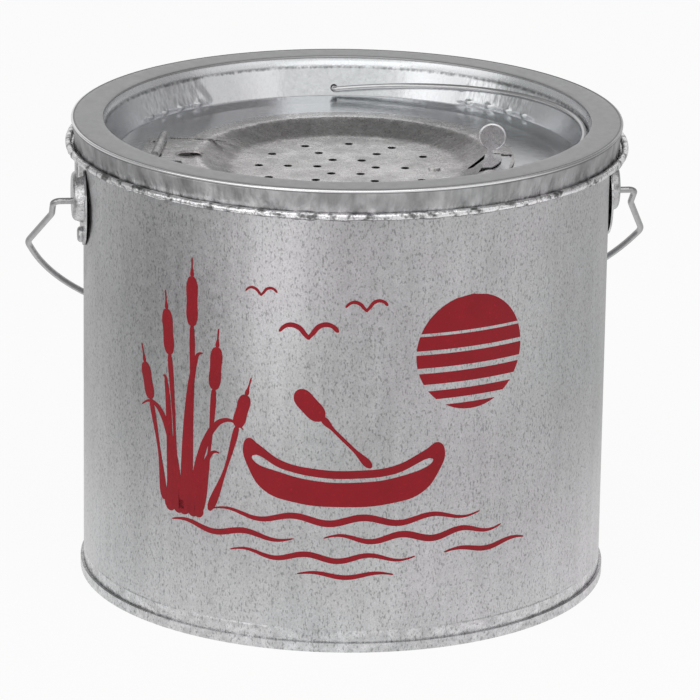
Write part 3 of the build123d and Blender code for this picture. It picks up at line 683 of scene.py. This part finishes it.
# %% [markdown]
# Print colour
#
# The print is a thin coat of crimson ink, rolled on the finished wall through a screen. It is not metal, it
# is a little glossy, and the zinc's grain shows through it as small lighter points.

# %% Crimson ink
ink, ink_tree, ink_shader = start_material("crimson_ink", metallic=0.0)
ink_shader.inputs["Specular IOR Level"].default_value = 0.3
ink_pores = noise(ink_tree, 1100.0, (1, 1, 0.6), detail=2.0)
ink_cloud = noise(ink_tree, 60.0, detail=2.0)
ink_value = times(ink_tree, spread(ink_tree, ink_pores, 0.60, 0.75, 1.0, 1.5),
                  spread(ink_tree, ink_cloud, 0.3, 0.7, 0.93, 1.07))
ink_tree.links.new(tinted(ink_tree, ink_value, (0.30, 0.0055, 0.014)), ink_shader.inputs["Base Color"])
ink_tree.links.new(spread(ink_tree, ink_pores, 0.3, 0.7, 0.34, 0.5), ink_shader.inputs["Roughness"])
ink_height = add_node(ink_tree, "ShaderNodeBump", Height=ink_pores, Strength=0.15, Distance=0.2 * mm)
ink_tree.links.new(ink_height.outputs["Normal"], ink_shader.inputs["Normal"])
print("ink is ready")

# %% [markdown]
# A generic lake picture
#
# The pail carries a one-colour picture across its front. Here it is a plain scene of its own: a striped
# sun, a canoe on waves, a stand of cattails and three birds. Each motif is drawn as closed outlines in a
# flat curve object, which Blender fills, holes included. It is drawn in millimetres: s runs round the wall
# to the right from the middle of the front, and h is the height above the table.

# %% Outlines for the picture
def smooth_outline(points):
    """Marks an outline that curves through its points."""
    return ("smooth", points)


def sharp_outline(points):
    """Marks an outline with straight sides."""
    return ("sharp", points)


def stroke(path, widths):
    """A brush stroke: a closed outline round a path of (s, h) points with a width at each point."""
    left, right = [], []
    for index, (s, h) in enumerate(path):
        before = path[max(index - 1, 0)]
        after = path[min(index + 1, len(path) - 1)]
        along = Vector((after[0] - before[0], after[1] - before[1])).normalized()
        half = widths[index] / 2
        left.append((s - along.y * half, h + along.x * half))
        right.append((s + along.y * half, h - along.x * half))
    return smooth_outline(left + right[::-1])


def wave_stroke(s_start, s_end, height, swing, lengths, width):
    """A water line that swells in its middle and runs out to a point at both ends."""
    count = max(12, int((s_end - s_start) / 4))
    path, widths = [], []
    for index in range(count + 1):
        share = index / count
        s = s_start + (s_end - s_start) * share
        path.append((s, height + swing * math.sin(2 * math.pi * lengths * share)))
        widths.append(0.25 + width * math.sin(math.pi * share) ** 0.7)
    return stroke(path, widths)


def sun_bands(s_centre, h_centre, radius, gaps):
    """A round sun cut into bands by level gaps that widen towards its foot."""
    edges = [radius]
    for low, high in gaps:
        edges += [high, low]
    edges.append(-radius)
    bands = []
    steps = 14
    for top, bottom in zip(edges[0::2], edges[1::2]):
        right, left = [], []
        for index in range(steps + 1):
            level = top + (bottom - top) * index / steps
            half = math.sqrt(max(radius ** 2 - level ** 2, 0))
            right.append((s_centre + half, h_centre + level))
            left.append((s_centre - half, h_centre + level))
        bands.append(sharp_outline(right + left[::-1]))
    return bands


print("outline helpers are ready")

# %% [markdown]
# From outlines to ink on the wall
#
# A flat curve becomes a mesh with convert. A filled shape has long thin triangles, which would cut through
# the round wall when bent, so the mesh is first bisected by upright cuts three millimetres apart. Then each
# point is moved to the wall: s becomes an angle, and the radius is the wall's with a few hundredths of a
# millimetre more. Solidify gives the coat its thickness.

# %% Wrap a motif round the wall
wall_radius = 122.8 * mm
front_angle = math.radians(-97.2)
ink_lift = 0.05 * mm
ink_coat = 0.04 * mm
cut_step = 3 * mm


def printed(name, *groups):
    """Makes a motif from groups of outlines, bends it round the wall and gives it a thickness.

    Within a group an outline inside another is a hole. Groups may cross each other without one."""
    bpy.ops.object.select_all(action="DESELECT")
    for outlines in groups:
        data = bpy.data.curves.new(name, "CURVE")
        data.dimensions = "2D"
        data.fill_mode = "BOTH"
        data.resolution_u = 6
        for kind, points in outlines:
            spline = data.splines.new("BEZIER")
            spline.bezier_points.add(len(points) - 1)
            handle = "AUTO" if kind == "smooth" else "VECTOR"
            for corner, (s, h) in zip(spline.bezier_points, points):
                corner.co = (s * mm, h * mm, 0)
                corner.handle_left_type = corner.handle_right_type = handle
            spline.use_cyclic_u = True
        motif = bpy.data.objects.new(name, data)
        bpy.context.scene.collection.objects.link(motif)
        motif.select_set(True)
        bpy.context.view_layer.objects.active = motif
    bpy.ops.object.convert(target="MESH")
    if len(groups) > 1:
        bpy.ops.object.join()
    motif = bpy.context.view_layer.objects.active
    motif.name = name
    places = [vertex.co.x for vertex in motif.data.vertices]
    bpy.ops.object.mode_set(mode="EDIT")
    cut = min(places) + cut_step
    while cut < max(places):
        bpy.ops.mesh.select_all(action="SELECT")
        bpy.ops.mesh.bisect(plane_co=(cut, 0, 0), plane_no=(1, 0, 0))
        cut += cut_step
    bpy.ops.mesh.select_all(action="SELECT")
    bpy.ops.mesh.remove_doubles(threshold=0.01 * mm)
    end_edit()
    for vertex in motif.data.vertices:
        s, h = vertex.co.x, vertex.co.y
        angle = front_angle + s / wall_radius
        radius = wall_radius + ink_lift
        vertex.co = (radius * math.cos(angle), radius * math.sin(angle), h)
    outward = sum(face.normal.dot(Vector((face.center.x, face.center.y, 0))) * face.area
                  for face in motif.data.polygons)
    if outward < 0:
        edit_all()
        bpy.ops.mesh.flip_normals()
        end_edit()
    coat = motif.modifiers.new("coat", "SOLIDIFY")
    coat.thickness = ink_coat
    coat.offset = 1.0
    bpy.ops.object.modifier_apply(modifier="coat")
    motif.data.materials.clear()
    motif.data.materials.append(ink)
    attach(motif, "pail")
    print(name, "has", len(motif.data.polygons), "faces")


# %% [markdown]
# The sun and the birds
#
# The sun stands at the upper right, with level gaps like bars of cloud. Each bird is two brush strokes that
# meet at the body, thick in the middle of each wing and thin at the tips.

# %% Print the sun and the birds
sun = sun_bands(60, 140, 27, [(9.0, 10.4), (0.4, 2.4), (-8.4, -5.8), (-16.8, -13.6), (-23.8, -20.8)])
printed("print_sun", sun)


def bird(s, h, span):
    """A bird seen far off: two wing strokes that meet at the body."""
    half = span / 2
    left = [(s - half, h + 0.05 * span), (s - 0.36 * span, h + 0.17 * span),
            (s - 0.18 * span, h + 0.15 * span), (s - 0.05 * span, h + 0.02 * span),
            (s + 0.02 * span, h - 0.05 * span)]
    right = [(s - 0.02 * span, h - 0.05 * span), (s + 0.06 * span, h + 0.04 * span),
             (s + 0.2 * span, h + 0.19 * span), (s + 0.37 * span, h + 0.2 * span),
             (s + half, h + 0.09 * span)]
    widths = [0.02 * span, 0.075 * span, 0.085 * span, 0.075 * span, 0.03 * span]
    return [stroke(left, widths), stroke(right, widths)]


birds = []
for place in ((-16, 150, 27), (10, 163, 19), (-38, 168, 15)):
    birds += [[wing] for wing in bird(*place)]
printed("print_birds", *birds)

# %% [markdown]
# The canoe and the water
#
# The canoe is a long low hull whose ends turn up, drawn as one outline, with a thin line of bare metal
# under its gunwale and a paddle that leans across it. The water below it is a set of wave strokes of
# different lengths.

# %% Print the canoe and the water
hull = [(-46, 96), (-43.5, 99.5), (-39, 97.2), (-28, 90.5), (-12, 87.4), (6, 87.0), (24, 89.0), (38, 95.5),
        (44.5, 98.6), (47.5, 94.4), (44.5, 84.5), (37, 75.5), (22, 71.0), (0, 69.6), (-22, 71.0), (-36, 75.5),
        (-43.5, 85.5)]
gunwale = [(-41.4, 91.4), (-28, 86.6), (-12, 83.6), (6, 83.2), (24, 85.0), (41.6, 91.0), (41.3, 89.2),
           (24, 83.2), (6, 81.3), (-12, 81.7), (-28, 84.7), (-41.3, 89.4)]
paddle_shaft = stroke([(13, 88.6), (5, 97), (-4, 106), (-9.4, 111.8)], [1.7, 1.7, 1.6, 1.5])
paddle_blade = smooth_outline([(-7.9, 112.6), (-12.4, 120.6), (-19, 125.0), (-22.4, 121.6), (-18.6, 114.6),
                               (-10.8, 109.9)])
printed("print_canoe", [smooth_outline(hull), smooth_outline(gunwale)], [paddle_shaft], [paddle_blade])
water = [
    wave_stroke(-62, 66, 63.0, 1.5, 4.0, 3.0), wave_stroke(-84, -22, 53.5, 1.4, 2.0, 2.6),
    wave_stroke(-8, 78, 54.5, 1.5, 3.0, 2.9), wave_stroke(-52, 34, 45.0, 1.4, 3.0, 2.5),
    wave_stroke(48, 92, 45.5, 1.1, 1.5, 2.2), wave_stroke(-20, 24, 36.8, 1.0, 1.5, 2.0),
]
printed("print_water", water)

# %% [markdown]
# The cattails
#
# Five stems of different heights lean a little, each with its long head and a thin spike above it. Broad
# leaves rise between them from one clump and bend over at their tips.

# %% Print the cattails
def cattail(s_foot, h_foot, s_head, h_head, long):
    """A stem, a rounded head and its spike."""
    bend = (s_foot + s_head) / 2 + 1.2
    lean = Vector((s_head - bend, h_head - (h_foot + h_head) / 2)).normalized()
    top = (s_head + lean.x * long, h_head + lean.y * long)
    tip = (top[0] + lean.x * 9, top[1] + lean.y * 9)
    stem = stroke([(s_foot, h_foot), (bend, (h_foot + h_head) / 2), (s_head, h_head + 0.5)], [1.9, 1.6, 1.3])
    side = Vector((-lean.y, lean.x))
    head = []
    swells = ((0, 1.2), (0.08, 2.5), (0.5, 2.9), (0.92, 2.5), (1, 1.1))
    for share, half in swells + tuple((share, -half) for share, half in swells[::-1]):
        head.append((s_head + lean.x * long * share + side.x * half,
                     h_head + lean.y * long * share + side.y * half))
    spike = stroke([top, ((top[0] + tip[0]) / 2, (top[1] + tip[1]) / 2), tip], [1.0, 0.8, 0.3])
    return [stem, smooth_outline(head), spike]


def leaf(s_foot, h_foot, s_tip, h_tip, droop, width):
    """A blade that rises, bends over and runs out to a point."""
    path, widths = [], []
    for index in range(9):
        share = index / 8
        s = s_foot + (s_tip - s_foot) * share ** 1.8
        h = h_foot + (h_tip - h_foot) * math.sin(share * math.pi / 2) - droop * share ** 5
        path.append((s, h))
        widths.append(width * (1 - share ** 2.2) + 0.25)
    return stroke(path, widths)


stems = []
for place in ((-82, 60, -86, 132, 21), (-75, 60, -73, 148, 23), (-68, 60, -61, 120, 20),
              (-89, 62, -98, 108, 17), (-63, 62, -49, 104, 16)):
    stems += [[part] for part in cattail(*place)]
printed("print_cattails", *stems)
blades = [
    leaf(-80, 58, -104, 112, 8, 4.2), leaf(-77, 58, -67, 138, 2, 4.4), leaf(-72, 58, -46, 112, 9, 4.2),
    leaf(-85, 58, -90, 124, 3, 3.8), leaf(-69, 58, -58, 92, 2, 3.6),
]
printed("print_leaves", *[[blade] for blade in blades])

# %% [markdown]
# The rolled edge of the thumb disc
#
# The latch is pulled by a small disc that stands up from the lid's rim. Its edge is turned over so that it
# does not cut a thumb, and that round edge has a finish painted near white all the way round, as a painted
# highlight. A torus follows the edge, opened at the foot where the disc joins its arm: the faces in a wedge
# below the centre are deleted and the two ends closed.

# %% Thumb disc edge
lid_turn = math.radians(-11.7)
thumb_centre = (67.4 * mm, 10.1 * mm, 209.6 * mm)
thumb_round = 5.75 * mm
thumb_roll = 0.72 * mm
foot_wedge = 0.30


def set_on_lid(piece):
    """Turns a piece's points from the lid's own frame, whose first axis points at the latch."""
    piece.data.transform(Matrix.Rotation(lid_turn, 4, "Z"))
    piece.data.update()


def finish_mesh(piece, finish, body, slot_name):
    """Points the faces outwards, smooths the shallow edges, and gives the piece its finish and body."""
    select_only(piece)
    bpy.ops.object.transform_apply(location=True, rotation=True, scale=True)
    edit_all()
    bpy.ops.mesh.remove_doubles(threshold=0.002 * mm)
    bpy.ops.mesh.normals_make_consistent(inside=False)
    end_edit()
    bpy.ops.object.shade_smooth_by_angle(angle=math.radians(40))
    dress(piece, finish, body, slot_name)


def clear_selection(kind):
    """Leaves nothing selected in the active piece, so that single faces or edges can be picked."""
    bpy.ops.object.mode_set(mode="EDIT")
    bpy.ops.mesh.select_mode(type=kind)
    bpy.ops.mesh.select_all(action="DESELECT")
    end_edit()


bpy.ops.object.select_all(action="DESELECT")
bpy.ops.mesh.primitive_torus_add(
    major_radius=thumb_round, minor_radius=thumb_roll, major_segments=60, minor_segments=12,
    rotation=(math.radians(90), 0, 0), location=thumb_centre)
thumb_edge = bpy.context.object
thumb_edge.name = "thumb_edge"
bpy.ops.object.transform_apply(location=True, rotation=True, scale=True)
clear_selection("FACE")
for face in thumb_edge.data.polygons:
    aside = face.center.x - thumb_centre[0]
    below = thumb_centre[2] - face.center.z
    face.select = below > 0 and abs(aside) < foot_wedge * below
bpy.ops.object.mode_set(mode="EDIT")
bpy.ops.mesh.delete(type="FACE")
bpy.ops.mesh.select_mode(type="VERT")
bpy.ops.mesh.select_all(action="SELECT")
bpy.ops.mesh.fill_holes(sides=16)
end_edit()
set_on_lid(thumb_edge)
# The rolled edge gets the near-white finish, a painted highlight.
finish_mesh(thumb_edge, "painted_highlight_edge", "latch_body", "dull_lid")

# %% [markdown]
# The louvre beside the hinge
#
# Next to the hinge the lid has a short slit whose far lip was pushed up into a hood, so that air gets in
# and water from above does not. The hood starts as a sphere, is squashed and cut by two bisect cuts, one
# level and one that leans back from the mouth, and gets its thickness from Solidify.

# %% Hood of the louvre
hood_half_sizes = (6.6 * mm, 2.9 * mm, 2.1 * mm)
hood_cuts = (((0, 0, 0.2 * mm), (0, 0, 1)), ((0, -0.4 * mm, 0), (0, 1, 0.35)))
hood_place = (-72.9 * mm, -8.4 * mm, 200.85 * mm)
hood_turn = math.radians(14)
hood_skin = 0.9 * mm
bpy.ops.object.select_all(action="DESELECT")
bpy.ops.mesh.primitive_uv_sphere_add(segments=32, ring_count=20, radius=1.0)
hood = bpy.context.object
hood.name = "louvre_hood"
edit_all()
bpy.ops.transform.resize(value=hood_half_sizes)
for point, direction in hood_cuts:
    bpy.ops.mesh.select_all(action="SELECT")
    bpy.ops.mesh.bisect(plane_co=point, plane_no=direction, clear_inner=True)
end_edit()
skin = hood.modifiers.new("skin", "SOLIDIFY")
skin.thickness = hood_skin
skin.offset = -0.6
bpy.ops.object.modifier_apply(modifier="skin")
hood.data.transform(Matrix.Translation(hood_place) @ Matrix.Rotation(hood_turn, 4, "Z"))
set_on_lid(hood)
finish_mesh(hood, "dull_lid", "lid_body", "dull_lid")

# %% [markdown]
# The hem of the hinge tab
#
# The lid's hinge tab is folded back on itself along its far side, which leaves a low raised hem that throws
# a thin shadow on the deck. It is a bar with its top edges bevelled, tapered at the end that runs out on
# the lid.

# %% Hem along the tab
hem_size = (27 * mm, 1.3 * mm, 0.75 * mm)
hem_place = (-72.0 * mm, 19.1 * mm, 201.15 * mm)
hem_taper = 0.45 * mm
hem_round = 0.22 * mm
bpy.ops.object.select_all(action="DESELECT")
bpy.ops.mesh.primitive_cube_add(size=1.0)
hem = bpy.context.object
hem.name = "tab_hem"
edit_all()
bpy.ops.transform.resize(value=hem_size)
bpy.ops.mesh.subdivide(number_cuts=3)
end_edit()
for vertex in hem.data.vertices:
    if vertex.co.x > 0:
        vertex.co.z -= hem_taper * (vertex.co.x / (hem_size[0] / 2)) ** 2
    vertex.co.x += hem_place[0]
    vertex.co.y += hem_place[1]
    vertex.co.z += hem_place[2]
clear_selection("EDGE")
for edge in hem.data.edges:
    ends = [hem.data.vertices[index].co for index in edge.vertices]
    on_side = all(abs(abs(end.y - hem_place[1]) - hem_size[1] / 2) < 0.001 * mm for end in ends)
    on_top = all(end.z > hem_place[2] - 0.15 * mm for end in ends)
    lengthwise = abs(ends[0].x - ends[1].x) > 0.1 * mm
    edge.select = on_side and on_top and lengthwise
bpy.ops.object.mode_set(mode="EDIT")
bpy.ops.mesh.bevel(offset=hem_round, segments=2, affect="EDGES")
bpy.ops.mesh.select_mode(type="VERT")
end_edit()
set_on_lid(hem)
finish_mesh(hem, "dull_lid", "lid_body", "dull_lid")

# %% [markdown]
# The studio
#
# Catalogue pictures are taken on white paper under large soft lamps. The floor is a pale sheet that keeps
# the object's shadow. What bright metal shows is its surroundings: the wall looks down and mirrors the
# paper in front of it, the neck looks up and mirrors the lamp, and the ring's flat top mirrors the
# backdrop. The paper therefore has pools of light and shade of its own, which only reflections see.

# %% The paper floor
bpy.ops.object.select_all(action="DESELECT")
bpy.ops.mesh.primitive_plane_add(size=8.0, location=(0, 0, -0.2 * mm))
floor = bpy.context.object
floor.name = "floor"
paper, paper_tree, paper_shader = start_material("paper", metallic=0.0)
paper_shader.inputs["Base Color"].default_value = (0.86, 0.86, 0.86, 1)
paper_shader.inputs["Roughness"].default_value = 0.9


def pool(tree, x, y, centre, radius, strength):
    """A round patch of light on the floor, soft at its edge."""
    east = sums(tree, "SUBTRACT", x, centre[0])
    north = sums(tree, "SUBTRACT", y, centre[1])
    away = from_axis(tree, east, north)
    return spread(tree, away, radius * 0.3, radius, strength, 0.0, soft=True)


paper_x, paper_y = object_xyz(paper_tree)[:2]
pools = (
    ((0, 0), 0.42, 0.34),
    ((-0.37, -0.60), 0.28, 1.20),
    ((-0.72, -0.10), 0.50, -0.36),
    ((0.58, -0.42), 0.55, 0.28),
)
paper_light = 0.64
for centre, radius, strength in pools:
    patch = pool(paper_tree, paper_x, paper_y, centre, radius, strength)
    paper_light = plus(paper_tree, patch, paper_light)
paper_path = add_node(paper_tree, "ShaderNodeLightPath")
paper_strength = mixed(paper_tree, paper_path.outputs["Is Camera Ray"], paper_light, 1.0)
paper_glow = add_node(paper_tree, "ShaderNodeEmission", Color=(1, 1, 1, 1), Strength=paper_strength)
seen = sums(paper_tree, "MAXIMUM", times(paper_tree, paper_path.outputs["Is Camera Ray"], 0.93),
            times(paper_tree, paper_path.outputs["Is Glossy Ray"], 0.85))
paper_mix = add_node(paper_tree, "ShaderNodeMixShader", Fac=seen)
paper_tree.links.new(paper_shader.outputs["BSDF"], paper_mix.inputs[1])
paper_tree.links.new(paper_glow.outputs["Emission"], paper_mix.inputs[2])
paper_tree.links.new(paper_mix.outputs["Shader"], paper_tree.nodes["Material Output"].inputs["Surface"])
floor.data.materials.append(paper)
print("floor with", len(pools), "pools of light")

# %% [markdown]
# Lamps and world
#
# One large soft lamp stands at the left of the object, one hangs above and in front of it, and a weaker one
# fills from the right. The world is white where the camera sees it. For everything else it is a dim room
# with a pale backdrop behind the object and a bright wall behind the camera. It is darker higher up, apart
# from a pale patch of ceiling straight overhead.

# %% Three lamps and the room
def soft_lamp(name, place, target, width, watts):
    """A square area lamp at a place, turned to face a target."""
    data = bpy.data.lights.new(name, "AREA")
    data.size = width
    data.energy = watts
    lamp = bpy.data.objects.new(name, data)
    bpy.context.scene.collection.objects.link(lamp)
    lamp.location = place
    lamp.rotation_euler = (Vector(target) - Vector(place)).to_track_quat("-Z", "Y").to_euler()
    print(name, "gives", watts, "watts")


soft_lamp("key_lamp", (-2.2, -1.1, 1.15), (0, 0, 0.1), 2.4, 12.5)
soft_lamp("fill_lamp", (1.9, -1.5, 1.6), (0, 0, 0.1), 2.2, 6.5)
soft_lamp("top_lamp", (-0.15, -1.25, 1.95), (0, 0, 0.2), 2.0, 12)

world = bpy.data.worlds.new("studio")
world.use_nodes = True
bpy.context.scene.world = world
sky = world.node_tree
sky_place = add_node(sky, "ShaderNodeTexCoord")
sky_split = add_node(sky, "ShaderNodeSeparateXYZ", Vector=sky_place.outputs["Generated"])
sky_east, sky_north, sky_up = (sky_split.outputs[axis] for axis in "XYZ")
to_back = plus(sky, times(sky, sky_east, 0.125), times(sky, sky_north, 0.992))
backdrop = times(sky, spread(sky, to_back, 0.70, 0.92, 0, 0.34, soft=True),
                 spread(sky, sky_up, 0.42, 0.66, 1, 0, soft=True))
room_front = times(sky, spread(sky, to_back, -0.45, -0.85, 0, 0.42, soft=True),
                   spread(sky, sky_up, 0.35, 0.75, 1, 0, soft=True))
room = spread(sky, sky_up, 0.25, 0.85, 0.42, 0.27, soft=True)
overhead = spread(sky, sky_up, 0.86, 0.96, 0, 0.24, soft=True)
sky_grey = plus(sky, plus(sky, room, overhead), plus(sky, backdrop, room_front))
sky_path = add_node(sky, "ShaderNodeLightPath")
sky_strength = mixed(sky, sky_path.outputs["Is Camera Ray"], sky_grey, 1.0)
sky.links.new(sky_strength, sky.nodes["Background"].inputs["Strength"])
sky.nodes["Background"].inputs["Color"].default_value = (1, 1, 1, 1)
bpy.context.scene.view_settings.view_transform = "Standard"
print("three lamps and the room are set")
